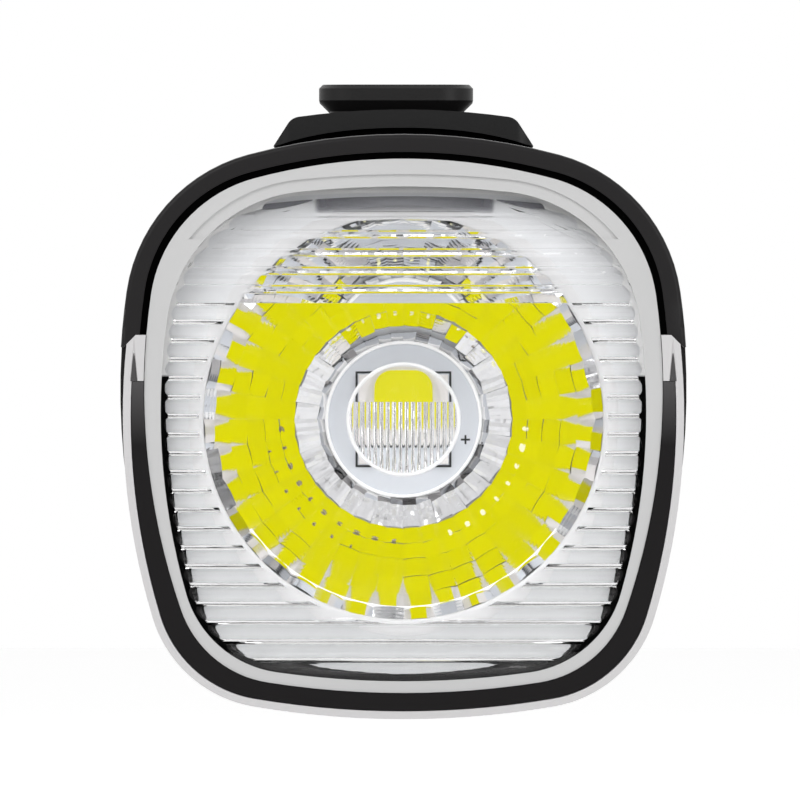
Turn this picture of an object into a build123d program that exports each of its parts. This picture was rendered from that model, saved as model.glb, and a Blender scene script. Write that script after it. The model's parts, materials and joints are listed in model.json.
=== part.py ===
"""Bike headlight that hangs from a dovetail foot, as separate pieces, one STEP file each.

Everything is modelled on the lamp's own axis: x to the right as seen from the front,
z up from the axis, and y as depth, from zero at the front face to the rear.
The last step moves it all so that the centre of the foot's top face is the origin.
"""
import math
import os

from build123d import *

# Head outline seen from the front: four long arcs and four rounded corners
head_half_width = 22.04
head_widest_height = 2.28
head_side_radius = 54.3
head_top = 22.16
head_top_radius = 46.5
head_bottom = 23.15
head_bottom_radius = 70.0
head_upper_corner = 12.88
head_lower_corner = 10.4
head_wall = 3.4
head_edge_radius = 0.35

# Battery body behind the head: narrower, and much shallower below
body_taper = 0.5
body_wall = 1.8
neck_clear_of_sink = 0.72
neck_length = 17.0
neck_steps = 4
fin_pitch = 3.2
fin_slot_width = 1.8
fin_reach = 12.0
fin_clear_of_sink = 1.6
fin_root = 0.3

# Lens frame: the pale ring that the lens sits in
frame_inset = 1.87
frame_side_width = 1.32
frame_top_width = 2.2
frame_bottom_width = 0.95
frame_front = 0.25
frame_lip = 1.1
frame_depth = 2.6
frame_step_width = 0.95
frame_step_depth = 0.25
frame_step_bottom = 14.0
opening_lowering = 1.74
opening_top_radius = 78.5
opening_corner_growth = 0.5

# Clear front lens with ribs on its inner face
lens_recess = 0.15
lens_thickness = 1.9
lens_flange = 0.65
rib_pitch = 1.46
rib_height = 0.42
rib_margin = 0.45
upper_rib_pitch = 1.75
upper_rib_height = 0.55
cutoff_height = 9.04
crystal_height = 1.4
crystal_depth = 0.8
boss_radius = 4.4
boss_depth = 1.1
flute_pitch = 0.48
flute_height = 0.16
flute_top = 1.36

# Pale side light guide, a U round the lower front edge, and its black inlay
guide_narrowing = 0.26
guide_lowering = 2.0
guide_drop = 0.11
guide_corner_step = 0.55
guide_lip = 0.6
guide_depth = 7.0
guide_top = 6.56
guide_chamfer = 1.0
strip_top = 2.99
strip_depth = 1.3
strip_recess = 0.1

# Mirror dish: flat facets in rings, and the light source at its focus
rim_side_room = 6.14
rim_setback = 0.45
base_radius = 6.2
sector_count = 40
ring_count = 6
dish_wall = 1.3
dish_flange = 1.0
dish_flange_gap = 0.12

# Light source on its board
board_radius = 13.0
board_thickness = 1.6
package_side = 7.0
package_height = 0.7
phosphor_radius = 2.18
phosphor_thickness = 0.15
dome_radius = 2.9
dome_height = 1.6
pad_thickness = 0.3
sink_thickness = 5.0
board_screw_circle = 10.7
board_screw_head_radius = 1.6
board_screw_head_height = 0.9
board_screw_radius = 0.9
board_screw_length = 5.0

# Cooling slots on both sides of the head
slot_count = 4
slot_first_share = 0.21
slot_pitch_share = 0.18
slot_width_share = 0.09
slot_depth = 1.5
slot_half_height = 11.5

# Battery, its cradle and its tabs
body_narrowing = 1.39
cell_length = 65.0
cell_gap = 0.6
cell_side_room = 0.25
cell_room = 4.6
tab_width = 7.0
tab_thickness = 0.2
tab_overlap = 3.5
sink_to_tab = 0.6
cradle_wall_gap = 0.1
cradle_play = 0.1
cradle_side_drop = 1.5
lead_channel_width = 6.0
lead_channel_height = 3.6

# Control board behind the battery, with its switch, socket and signal lights
tab_to_board = 0.8
control_thickness = 1.2
control_edge_gap = 0.25
switch_side = 5.2
switch_height = 1.8
plunger_radius = 1.2
plunger_height = 1.1
socket_width = 8.94
socket_height = 3.16
socket_wall = 0.3
socket_tongue_width = 6.7
socket_tongue_height = 0.7
socket_tongue_depth = 4.6
signal_side = 1.6
signal_height = 0.8
signal_spacing = 2.6
signal_count = 3

# Rear cap, its gasket and its screws
gasket_thickness = 0.6
gasket_inset = 0.4
cap_length = 8.6
cap_rear_wall = 3.0
cap_edge_radius = 1.8
spigot_end_gap = 0.4
spigot_thickness = 1.1
spigot_gap = 0.1
cap_boss_radius = 1.95
cap_boss_length = 12.0
cap_boss_gap = 0.1
cap_post_radius = 2.5
cap_screw_radius = 0.95
cap_screw_length = 12.0
cap_screw_head_radius = 1.75
cap_screw_head_height = 1.4
cap_screw_sink = 0.3

# Power button, its ring, the signal window, and the socket's hinged cover
button_below_top = 8.55
button_radius = 4.5
button_crown = 0.5
button_proud = 0.6
button_travel = 0.6
button_flange = 0.7
button_flange_thickness = 0.9
button_flange_gap = 0.15
button_gap = 0.3
pusher_radius = 1.3
switch_gap = 0.15
ring_width = 0.9
ring_proud = 0.4
ring_seat = 0.9
window_below_button = 6.6
window_width = 8.4
window_thickness = 1.2
window_sink = 0.1
window_gap = 0.4
socket_below_window = 5.8
cover_clear_of_screws = 0.55
cover_below_socket = 1.5
cover_above_socket = 1.9
cover_corner = 1.2
cover_thickness = 1.2
cover_sink = 0.1
cover_gap = 0.3
scoop_radius = 1.8
scoop_depth = 0.9
barrel_radius = 1.05
plug_depth = 0.5
pin_radius = 0.4
pin_reach = 1.4
pin_play = 0.04

# Mount on top: pad, arched base and dovetail foot
mount_front = 19.0
base_length = 40.0
base_half_width = 10.33
base_crown_rise = 2.09
base_shoulder_half_width = 8.75
base_shoulder_drop = 0.65
base_edge_drop = 3.1
base_shoulder_radius = 1.2
base_end_radius = 1.5
mount_pad_gap = 0.35
mount_pad_inset = 0.7
foot_offset = -0.58
foot_width = 12.1
foot_length = 28.0
foot_rise = 2.02
foot_side_height = 1.24
foot_undercut = 0.86
foot_corner = 2.6
foot_edge_bevel = 0.3
foot_seat_depth = 1.1
latch_slot_length = 2.6
latch_slot_depth = 0.8
latch_slot_back = 5.0
mount_screw_spacing = 16.0
mount_screw_radius = 1.5
mount_screw_head_radius = 2.8
mount_screw_head_height = 1.6
mount_screw_length = 8.0
mount_screw_sink = 0.2
mount_boss_radius = 3.4
mount_boss_drop = 3.2

# Wires and clearances
lead_radius = 0.6
lead_spacing = 2.6
lead_rise = 2.6
fit_gap = 0.05
hole_gap = 0.15
overrun = 1.0
drive_recess_share = 0.5
drive_depth_share = 0.55
head_bevel_share = 0.3

# Depths that follow from the sizes above
lens_front = frame_front + lens_recess
lip_rear = frame_front + frame_lip
lens_rear = lens_front + lens_thickness
frame_rear = frame_front + frame_depth
dish_front = frame_rear + rim_setback
# The dish is round, so its rim follows the smaller of the width and height of the head
rim_radius = min(head_half_width, head_top) - rim_side_room
source_height = package_height + phosphor_thickness
focal_length = (source_height + math.sqrt(source_height**2 + base_radius**2)) / 2
dish_depth = (rim_radius**2 - base_radius**2) / (4 * focal_length)
board_front = dish_front + dish_depth
board_rear = board_front + board_thickness
sink_front = board_rear + pad_thickness
sink_rear = sink_front + sink_thickness
neck_start = sink_rear + neck_clear_of_sink
slot_room = neck_start - guide_depth
cell_front = sink_rear + sink_to_tab + tab_thickness
cell_rear = cell_front + cell_length
control_front = cell_rear + tab_thickness + tab_to_board
control_rear = control_front + control_thickness
neck_end = neck_start + neck_length
cap_front = control_rear
shell_rear = cap_front - gasket_thickness
cap_rear = cap_front + cap_length
cap_inner = cap_rear - cap_rear_wall
spigot_length = cap_front - cell_rear - spigot_end_gap
body_half_width = head_half_width - body_narrowing
cell_radius = (body_half_width - body_wall - cell_side_room - cell_gap / 2) / 2
cell_x = cell_radius + cell_gap / 2
body_bottom = 2 * (cell_radius + cell_room + body_wall) - head_top
cell_height = head_top - body_wall - cell_room - cell_radius
button_height = head_top - button_below_top
window_height = button_height - window_below_button
port_height = window_height - socket_below_window
cover_side_room = cap_screw_head_radius + hole_gap + cover_gap + cover_clear_of_screws
cover_width = 2 * (cell_x - cover_side_room)
cover_recess = cover_sink + cover_thickness + cover_gap
socket_depth = cap_length - cover_recess
hinge_height = port_height + socket_height / 2 + cover_above_socket
hinge_depth = cap_rear - cover_sink - barrel_radius
cover_low = port_height - socket_height / 2 - cover_below_socket
lead_height = -body_bottom + body_wall + lead_rise
mount_middle = mount_front + base_length / 2
base_crown_height = head_top + base_crown_rise
base_shoulder_height = base_crown_height - base_shoulder_drop
base_edge_height = base_crown_height - base_edge_drop
foot_top = base_crown_height + foot_rise
foot_floor = base_crown_height - foot_seat_depth

head = dict(
    half_width=head_half_width,
    widest=head_widest_height,
    side_radius=head_side_radius,
    top=head_top,
    top_radius=head_top_radius,
    bottom=head_bottom,
    bottom_radius=head_bottom_radius,
    upper_corner=head_upper_corner,
    lower_corner=head_lower_corner,
)
body_end = dict(head, half_width=body_half_width, widest=cell_height, bottom=body_bottom)
body = dict(body_end, half_width=body_half_width + body_taper, bottom=body_bottom + body_taper)
opening = dict(
    half_width=head_half_width - frame_inset - frame_side_width,
    widest=head_widest_height - opening_lowering,
    side_radius=head_side_radius - frame_inset - frame_side_width,
    top=head_top - frame_inset - frame_top_width,
    top_radius=opening_top_radius,
    bottom=head_bottom - frame_inset - frame_bottom_width,
    bottom_radius=head_bottom_radius,
    upper_corner=head_upper_corner - frame_inset + opening_corner_growth,
    lower_corner=head_lower_corner - frame_inset,
)
guide_shape = dict(
    head,
    half_width=head_half_width - guide_narrowing,
    widest=head_widest_height - guide_lowering,
    bottom=head_bottom + guide_drop,
    lower_corner=head_lower_corner - guide_corner_step,
)


def arc_corner(side_x, side_z, side_radius, end_z, end_radius):
    """Where the right side arc crosses the top or bottom arc, whose centre is on x zero."""
    apart = math.hypot(side_x, end_z - side_z)
    along = (side_radius**2 - end_radius**2 + apart**2) / (2 * apart)
    across = math.sqrt(side_radius**2 - along**2)
    ux, uz = -side_x / apart, (end_z - side_z) / apart
    crossings = [
        (side_x + along * ux - sign * across * uz, side_z + along * uz + sign * across * ux)
        for sign in (1, -1)
    ]
    return max(crossings)


def outline(shape, inset=0):
    """The rounded outline of the head or body, drawn in smaller by inset all round."""
    half, widest = shape["half_width"] - inset, shape["widest"]
    top, bottom = shape["top"] - inset, shape["bottom"] - inset
    side = (shape["half_width"] - shape["side_radius"], widest, shape["side_radius"] - inset)
    top_x, top_z = arc_corner(*side, shape["top"] - shape["top_radius"], shape["top_radius"] - inset)
    low_x, low_z = arc_corner(
        *side, shape["bottom_radius"] - shape["bottom"], shape["bottom_radius"] - inset
    )
    edges = [
        ThreePointArc((low_x, low_z), (half, widest), (top_x, top_z)),
        ThreePointArc((top_x, top_z), (0, top), (-top_x, top_z)),
        ThreePointArc((-top_x, top_z), (-half, widest), (-low_x, low_z)),
        ThreePointArc((-low_x, low_z), (0, -bottom), (low_x, low_z)),
    ]
    face = make_face(edges)
    face = fillet(face.vertices().group_by(Axis.Y)[-1], shape["upper_corner"] - inset)
    return fillet(face.vertices().group_by(Axis.Y)[0], shape["lower_corner"] - inset)


def blend(first, last, share):
    """An outline part of the way from one shape to another."""
    return {key: first[key] + (last[key] - first[key]) * share for key in first}


def at_depth(face, depth):
    """A flat outline stood up at a depth behind the front face."""
    return Plane.XZ.offset(-depth) * face


def slab(face, front, rear):
    """A flat outline stood up and given thickness from one depth to another."""
    return extrude(at_depth(face, rear), amount=rear - front)


def rod(x, z, radius, front, rear):
    """A round bar along the depth."""
    return slab(Pos(x, z) * Circle(radius), front, rear)


def scallops(count, pitch, height, backing):
    """A row of round-topped ribs on a thin backing, centred on x zero, ribs towards +y."""
    start = -count * pitch / 2
    edges = []
    for i in range(count):
        left = start + i * pitch
        edges.append(ThreePointArc((left, 0), (left + pitch / 2, height), (left + pitch, 0)))
    edges.append(Line((-start, 0), (-start, -backing)))
    edges.append(Line((-start, -backing), (start, -backing)))
    edges.append(Line((start, -backing), (start, 0)))
    return make_face(edges)


def across_ribs(count, pitch, height, lowest):
    """Ribs that run from side to side on the rear of the lens, upward from a height."""
    row = scallops(count, pitch, height, fit_gap)
    middle = lowest + count * pitch / 2
    plane = Plane(origin=(0, lens_rear, middle), x_dir=(0, 0, 1), z_dir=(-1, 0, 0))
    return extrude(plane * row, amount=opening["half_width"], both=True)


def below(height):
    """Everything lower than a height, seen from the front."""
    return Pos(0, height) * Rectangle(
        4 * head_half_width, 4 * head_bottom, align=(Align.CENTER, Align.MAX)
    )


def guide_zone(top):
    """The lower part of the face that the side light guide takes, its two shoulders sloped."""
    shoulder = guide_shape["half_width"]
    slope = Polyline(
        (shoulder - guide_chamfer, top), (shoulder, top - guide_chamfer),
        (-shoulder, top - guide_chamfer), (guide_chamfer - shoulder, top), close=True,
    )
    return below(top - guide_chamfer) + make_face(slope)


def dome(x, z, radius, height, base, rearward=True):
    """A shallow round dome that stands on a depth, towards the rear or the front."""
    ball = (radius**2 + height**2) / (2 * height)
    sign = 1 if rearward else -1
    low, high = sorted((base, base + sign * 2 * height))
    return rod(x, z, radius, low, high) & (Pos(x, base + sign * (height - ball), z) * Sphere(ball))


def countersunk_screw(head_radius, head_height, radius, length):
    """A screw pointing down from z zero, with a cone head and a hexagon recess."""
    profile = Polyline(
        (0, 0), (head_radius, 0), (radius, -head_height), (radius, -length), (0, -length), close=True
    )
    screw = revolve(Plane.XZ * make_face(profile), Axis.Z)
    recess = extrude(
        RegularPolygon(head_radius * drive_recess_share, 6), amount=-head_height * drive_depth_share
    )
    return screw - recess


def pan_screw(head_radius, head_height, radius, length):
    """A screw pointing down from z zero, its round head above, with a hexagon recess."""
    head_disc = extrude(Circle(head_radius), amount=head_height)
    head_disc = chamfer(head_disc.edges().group_by(Axis.Z)[-1], head_height * head_bevel_share)
    recess = Pos(0, 0, head_height) * extrude(
        RegularPolygon(head_radius * drive_recess_share, 6), amount=-head_height * drive_depth_share
    )
    return head_disc + extrude(Circle(radius), amount=-length) - recess


def toward_front(x, depth, z):
    """A place on a face that looks to the rear, for a screw that points to the front."""
    return Pos(x, depth, z) * Rot(-90, 0, 0)


def toward_rear(x, depth, z):
    """A place on a face that looks to the front, for a screw that points to the rear."""
    return Pos(x, depth, z) * Rot(90, 0, 0)


def cap_screw_places():
    """The four rear cap screws, right above and below the cells."""
    rise = cell_radius + cap_boss_radius + cap_boss_gap
    return [(x, cell_height + z) for x in (-cell_x, cell_x) for z in (-rise, rise)]


def mount_screw_depths():
    """How far back the two mount screws stand."""
    return [mount_middle - mount_screw_spacing / 2, mount_middle + mount_screw_spacing / 2]


def neck():
    """The waist between the deep head and the shallower battery body."""
    sections = []
    for i in range(neck_steps + 1):
        share = i / neck_steps
        eased = share * share * (3 - 2 * share)
        depth = neck_start + neck_length * share
        sections.append(at_depth(outline(blend(head, body, eased)), depth))
    return loft(sections)


def neck_fins():
    """Slots cut up into the underside of the neck, which leave fins along the depth."""
    front = sink_rear + fin_clear_of_sink
    slots = []
    for i in range(-int(fin_reach / fin_pitch), int(fin_reach / fin_pitch) + 1):
        foot = Pos(i * fin_pitch, -body["bottom"] - fin_root) * Rectangle(
            fin_slot_width, 2 * head_bottom, align=(Align.CENTER, Align.MAX)
        )
        slots.append(slab(foot, front, neck_end + overrun))
    return slots


def side_slots():
    """Cooling slots round both cheeks of the head."""
    ring = outline(head, -overrun) - outline(head, slot_depth)
    cheeks = ring & Rectangle(3 * head_half_width, 2 * slot_half_height)
    shares = [slot_first_share + i * slot_pitch_share for i in range(slot_count)]
    fronts = [guide_depth + share * slot_room for share in shares]
    return [slab(cheeks, front, front + slot_width_share * slot_room) for front in fronts]


def body_shell():
    """Aluminium shell: deep head in front, finned neck, shallower battery body behind."""
    shell = slab(outline(head), 0, neck_start)
    shell = fillet(shell.edges().group_by(Axis.Y)[0], head_edge_radius) + neck()
    shell += loft([at_depth(outline(body), neck_end), at_depth(outline(body_end), shell_rear)])
    shell -= slab(outline(head, frame_inset), -overrun, frame_rear)
    shell -= slab(outline(head, head_wall), 0, sink_rear)
    ledge = outline(guide_shape, -overrun) - outline(head, frame_inset + fit_gap)
    ledge = ledge & guide_zone(guide_top + fit_gap)
    shell -= slab(ledge, -overrun, guide_depth + fit_gap)
    for cut in side_slots() + neck_fins():
        shell -= cut
    bay = slab(outline(body_end, body_wall), sink_rear - overrun, shell_rear + overrun)
    for x, z in cap_screw_places():
        sign = 1 if z > cell_height else -1
        web = Pos(x, z) * Rectangle(
            2 * cap_boss_radius, cell_room, align=(Align.CENTER, Align.MIN if sign > 0 else Align.MAX)
        )
        bay -= slab(web + Pos(x, z) * Circle(cap_boss_radius), shell_rear - cap_boss_length, shell_rear)
        bay += rod(x, z, cap_screw_radius + fit_gap, shell_rear - cap_boss_length, shell_rear)
    for depth in mount_screw_depths():
        place = Pos(foot_offset, depth, head_top - body_wall - mount_boss_drop)
        bay -= place * extrude(Circle(mount_boss_radius), amount=2 * mount_boss_drop)
    shell -= bay
    for depth in mount_screw_depths():
        place = Pos(foot_offset, depth, foot_top - mount_screw_sink - mount_screw_length)
        shell -= place * extrude(Circle(mount_screw_radius + fit_gap), amount=mount_screw_length)
    return shell


def lens_frame():
    """Pale ring round the lens, with a lip in front of it and a low step along its top."""
    rim = outline(head, frame_inset + fit_gap)
    frame = slab(rim - outline(opening), frame_front, lip_rear)
    frame += slab(rim - outline(opening, -lens_flange - fit_gap), lip_rear, frame_rear)
    step = outline(opening, -frame_step_width) - below(frame_step_bottom)
    return frame - slab(step, frame_front - overrun, frame_front + frame_step_depth)


def front_lens():
    """Clear lens: flanged plate, side ribs, upper ribs, a crystal bar and the fluted centre."""
    lens = slab(outline(opening, fit_gap), lens_front, lip_rear)
    lens += slab(outline(opening, -lens_flange), lip_rear, lens_rear)
    lens -= slab(
        outline(opening, -lens_flange - overrun) - outline(opening, fit_gap),
        lip_rear - overrun, lip_rear + fit_gap,
    )
    zone = outline(opening, rib_margin)
    middle = Circle(rim_radius)
    count = int((cutoff_height + opening["bottom"]) / rib_pitch) + 1
    lower = slab((zone & below(cutoff_height)) - middle, lens_rear - fit_gap, lens_rear + rib_height)
    lens += lower & across_ribs(count, rib_pitch, rib_height, cutoff_height - count * rib_pitch)
    start = cutoff_height + crystal_height
    count = int((opening["top"] - start) / upper_rib_pitch) + 1
    upper = slab(zone - below(start), lens_rear - fit_gap, lens_rear + upper_rib_height)
    lens += upper & across_ribs(count, upper_rib_pitch, upper_rib_height, start)
    crystal = (Circle(rim_radius) & below(start)) - below(cutoff_height)
    bar = slab(crystal, lens_rear - fit_gap, lens_rear + crystal_depth)
    lens += bar & across_ribs(1, crystal_height, crystal_depth, cutoff_height)
    return lens + centre_boss()


def centre_boss():
    """Round boss in the middle of the lens, its lower part cut into upright flutes."""
    rear = lens_rear + boss_depth
    clear = Circle(boss_radius) - below(flute_top)
    boss = slab(clear, lens_rear - fit_gap, rear)
    count = int(2 * boss_radius / flute_pitch) + 1
    row = scallops(count, flute_pitch, flute_height, boss_depth - flute_height + fit_gap)
    plane = Plane(origin=(0, rear - flute_height, -boss_radius), x_dir=(1, 0, 0), z_dir=(0, 0, 1))
    flutes = extrude(plane * row, amount=boss_radius + flute_top)
    return boss + (flutes & rod(0, 0, boss_radius, lens_rear - overrun, rear + overrun))


def lens_seal():
    """Black sealing ring between the lens and the ledge in the shell."""
    ring = outline(opening, fit_gap - lens_flange) - outline(opening, rib_margin - fit_gap)
    return slab(ring, lens_rear, frame_rear)


def side_light_guide():
    """Pale U round the lower front edge, with a channel in its face for the black inlay."""
    ring = outline(guide_shape) - outline(head, frame_inset)
    guide = slab(ring & guide_zone(guide_top), 0, guide_depth)
    channel = outline(guide_shape, guide_lip) & below(strip_top)
    return guide - slab(channel, -overrun, strip_depth)


def guide_strip():
    """Black inlay that fills the channel of the side light guide."""
    strip = outline(guide_shape, guide_lip + fit_gap) - outline(head, frame_inset)
    return slab(strip & below(strip_top - fit_gap), strip_recess, strip_depth)


def dish_depth_at(radius):
    """How far behind the front face the mirror lies at a radius."""
    return dish_front + (rim_radius**2 - radius**2) / (4 * focal_length)


def faceted_cup(growth):
    """The space inside the dish's rings of flat facets, grown outwards by a thickness."""
    levels = []
    for i in range(ring_count + 1):
        radius = rim_radius + (base_radius - rim_radius) * i / ring_count
        turns = [2 * math.pi * k / sector_count for k in range(sector_count)]
        reach, depth = radius + growth, dish_depth_at(radius)
        levels.append([(reach * math.cos(turn), depth, reach * math.sin(turn)) for turn in turns])
    faces = [Face(Wire.make_polygon(levels[0])), Face(Wire.make_polygon(levels[-1]))]
    for front, rear in zip(levels, levels[1:]):
        for k in range(sector_count):
            corners = [front[k - 1], front[k], rear[k], rear[k - 1]]
            faces.append(Face(Wire.make_polygon(corners)))
    return Solid(Shell(faces))


def reflector():
    """Mirror dish, rings of flat facets set along a paraboloid, on a plate across the head."""
    plate = slab(outline(head, head_wall + dish_flange_gap), dish_front, dish_front + dish_flange)
    return faceted_cup(dish_wall) + plate - faceted_cup(0)


def led_board():
    """Round board that carries the light source, with two screw holes."""
    board = rod(0, 0, board_radius, board_front, board_rear)
    for x in (-board_screw_circle, board_screw_circle):
        board -= rod(x, 0, board_screw_radius + hole_gap, board_front, board_rear)
    return board


def led_package():
    return slab(Rectangle(package_side, package_side), board_front - package_height, board_front)


def led_phosphor():
    front = board_front - package_height
    return rod(0, 0, phosphor_radius, front - phosphor_thickness, front)


def led_dome():
    """Clear dome over the phosphor, hollow where the phosphor sits."""
    base = board_front - package_height
    cover = dome(0, 0, dome_radius, dome_height, base, rearward=False)
    return cover - rod(0, 0, phosphor_radius, base - phosphor_thickness, base)


def thermal_pad():
    pad = rod(0, 0, board_radius, board_rear, sink_front)
    for x in (-board_screw_circle, board_screw_circle):
        pad -= rod(x, 0, board_screw_radius + hole_gap, board_rear, sink_front)
    return pad - lead_hole(board_rear, sink_front)


def lead_hole(front, rear):
    """Slot through which both wires pass."""
    width = lead_spacing + 2 * lead_radius + 2 * hole_gap
    return slab(
        Pos(0, lead_height) * SlotOverall(width + lead_radius, 2 * lead_radius + 4 * hole_gap),
        front, rear,
    )


def heatsink():
    """Thick plate across the head that carries the light source and takes its heat."""
    sink = slab(outline(head, head_wall + fit_gap), sink_front, sink_rear)
    for x in (-board_screw_circle, board_screw_circle):
        sink -= rod(x, 0, board_screw_radius + fit_gap, sink_front, sink_rear - fit_gap)
    return sink - lead_hole(sink_front, sink_rear)


def led_board_screws():
    screw = pan_screw(
        board_screw_head_radius, board_screw_head_height, board_screw_radius, board_screw_length
    )
    places = [toward_rear(x, board_front, 0) for x in (-board_screw_circle, board_screw_circle)]
    return Compound([place * screw.solid() for place in places])


def battery_cells():
    return Compound([rod(x, cell_height, cell_radius, cell_front, cell_rear).solid()
                     for x in (-cell_x, cell_x)])


def cell_tabs():
    """Metal strips that join the two cells at each end."""
    length = 2 * (cell_x + tab_overlap)
    strip = Pos(0, cell_height) * RectangleRounded(length, tab_width, tab_width / 4)
    return Compound([
        slab(strip, cell_front - tab_thickness, cell_front).solid(),
        slab(strip, cell_rear, cell_rear + tab_thickness).solid(),
    ])


def battery_cradle():
    """Trough under the cells, with a channel along its floor for the wires."""
    block = outline(body_end, body_wall + cradle_wall_gap) & below(cell_height - cradle_side_drop)
    for x in (-cell_x, cell_x):
        block -= Pos(x, cell_height) * Circle(cell_radius + cradle_play)
    floor = body_wall - body_bottom
    channel = Pos(0, floor) * Rectangle(lead_channel_width, 2 * lead_channel_height)
    rear = shell_rear - cap_boss_length - fit_gap
    return slab(block - channel, cell_front, rear)


def control_board():
    """Board across the rear end, cut round the screw bosses."""
    inset = body_wall + spigot_gap + spigot_thickness + control_edge_gap
    board = outline(body_end, inset)
    for x, z in cap_screw_places():
        board -= Pos(x, z) * Circle(cap_post_radius + control_edge_gap)
    return slab(board, control_front, control_rear)


def tact_switch():
    base = control_rear + switch_height
    square = Pos(0, button_height) * RectangleRounded(switch_side, switch_side, hole_gap)
    body_block = slab(square, control_rear, base)
    return body_block + rod(0, button_height, plunger_radius, base, base + plunger_height)


def charging_socket():
    """Metal shell of the charging socket, open to the rear, with its tongue."""
    mouth = control_rear + socket_depth
    inner_height = socket_height - 2 * socket_wall
    shell = Pos(0, port_height) * SlotOverall(socket_width, socket_height)
    hole = Pos(0, port_height) * SlotOverall(socket_width - 2 * socket_wall, inner_height)
    socket = slab(shell, control_rear, mouth) - slab(hole, control_rear + plug_depth, mouth)
    tongue = Pos(0, port_height) * Rectangle(socket_tongue_width, socket_tongue_height)
    return socket + slab(tongue, control_rear, control_rear + socket_tongue_depth)


def signal_lights():
    """Small light sources on the board, behind the signal window."""
    start = -(signal_count - 1) * signal_spacing / 2
    square = RectangleRounded(signal_side, window_thickness, hole_gap)
    return Compound([
        slab(Pos(start + i * signal_spacing, window_height) * square,
             control_rear, control_rear + signal_height).solid()
        for i in range(signal_count)
    ])


def signal_window():
    """Clear bar that carries the signal lights out to the rear face."""
    bar = Pos(0, window_height) * SlotOverall(window_width, window_thickness)
    return slab(bar, control_rear + signal_height + window_gap, cap_rear - window_sink)


def cap_gasket():
    ring = outline(body_end, gasket_inset) - outline(body_end, body_wall)
    return slab(ring, shell_rear, cap_front)


def cover_outline(gap=0):
    """Front view of the socket cover, or of its recess when a gap is given."""
    top = hinge_height + (barrel_radius + gap if gap else 0)
    low = cover_low - gap
    middle, height = (top + low) / 2, top - low
    plate = RectangleRounded(cover_width + 2 * gap, height, cover_corner)
    upper = Pos(0, height / 4) * Rectangle(cover_width + 2 * gap, height / 2)
    return Pos(0, middle) * (plate + upper)


def across(radius, length):
    """A round bar from side to side, along the hinge of the socket cover."""
    bar = extrude(Plane.YZ * Circle(radius), amount=length / 2, both=True)
    return Pos(0, hinge_depth, hinge_height) * bar


def rear_cap():
    """Moulded cap: spigot, screw posts, and seats for button, window, socket and cover."""
    cap = slab(outline(body_end), cap_front, cap_rear)
    cap = fillet(cap.edges().group_by(Axis.Y)[-1], cap_edge_radius)
    inner = body_wall + spigot_gap + spigot_thickness
    room = outline(body_end, inner)
    for x, z in cap_screw_places():
        room -= Pos(x, z) * Circle(cap_post_radius)
    cap -= slab(room, cap_front - overrun, cap_inner)
    spigot = outline(body_end, body_wall + spigot_gap) - outline(body_end, inner)
    for x, z in cap_screw_places():
        sign = 1 if z > cell_height else -1
        relief = Rectangle(2 * (cap_boss_radius + hole_gap), 2 * cell_room)
        spigot -= Pos(x, z + sign * cell_room) * relief
        spigot -= Pos(x, z) * Circle(cap_boss_radius + hole_gap)
    cap += slab(spigot, cap_front - spigot_length, cap_front)
    for x, z in cap_screw_places():
        seat = cap_rear - cap_screw_sink - cap_screw_head_height
        cap -= rod(x, z, cap_screw_radius + hole_gap, cap_front - overrun, seat)
        cap -= rod(x, z, cap_screw_head_radius + hole_gap, seat, cap_rear + overrun)
    hole = button_radius + button_gap
    cap -= rod(0, button_height, hole, cap_inner - overrun, cap_rear)
    cap -= rod(0, button_height, hole + ring_width, cap_rear - ring_seat, cap_rear + overrun)
    bar = Pos(0, window_height) * SlotOverall(
        window_width + 2 * fit_gap, window_thickness + 2 * fit_gap
    )
    cap -= slab(bar, cap_inner - overrun, cap_rear + overrun)
    cap -= slab(cover_outline(cover_gap), cap_rear - cover_recess, cap_rear + overrun)
    cap -= across(barrel_radius + cover_gap, cover_width + 2 * cover_gap)
    cap -= across(pin_radius + fit_gap, cover_width + 2 * (cover_gap + pin_reach))
    cap -= rod(0, cover_low, scoop_radius, cap_rear - scoop_depth, cap_rear + overrun)
    port = Pos(0, port_height) * SlotOverall(socket_width + 2 * fit_gap, socket_height + 2 * fit_gap)
    return cap - slab(port, cap_inner - overrun, cap_rear)


def cap_screws():
    screw = pan_screw(
        cap_screw_head_radius, cap_screw_head_height, cap_screw_radius, cap_screw_length
    )
    seat = cap_rear - cap_screw_sink - cap_screw_head_height
    return Compound([toward_front(x, seat, z) * screw.solid() for x, z in cap_screw_places()])


def button_ring():
    hole = button_radius + button_gap
    outer = hole + ring_width - fit_gap
    ring = rod(0, button_height, outer, cap_rear - ring_seat, cap_rear + ring_proud)
    ring -= rod(0, button_height, hole, cap_rear - ring_seat - overrun, cap_rear + overrun)
    return chamfer(ring.edges().group_by(Axis.Y)[-1], ring_proud / 2)


def power_button():
    """Soft button with a crowned face, a flange behind the cap wall and a pusher."""
    shoulder = cap_inner - button_flange_gap
    front = shoulder - button_flange_thickness
    tip = control_rear + switch_height + plunger_height + button_travel + switch_gap
    edge = cap_rear + button_proud
    button = rod(0, button_height, pusher_radius, tip, front)
    button += rod(0, button_height, button_radius + button_flange, front, shoulder)
    button += rod(0, button_height, button_radius, shoulder, edge)
    return button + dome(0, button_height, button_radius, button_crown, edge)


def port_cover():
    """Hinged cover of the charging socket, with its barrel and a plug for the socket's mouth."""
    rear = cap_rear - cover_sink
    front = rear - cover_thickness
    cover = slab(cover_outline(), front, rear) + across(barrel_radius, cover_width)
    mouth = control_rear + socket_depth
    plug = SlotOverall(
        socket_width - 2 * (socket_wall + cover_gap), socket_height - 2 * (socket_wall + cover_gap)
    )
    cover += slab(Pos(0, port_height) * plug, mouth - plug_depth, front)
    return cover - across(pin_radius + pin_play, cover_width + overrun)


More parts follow.
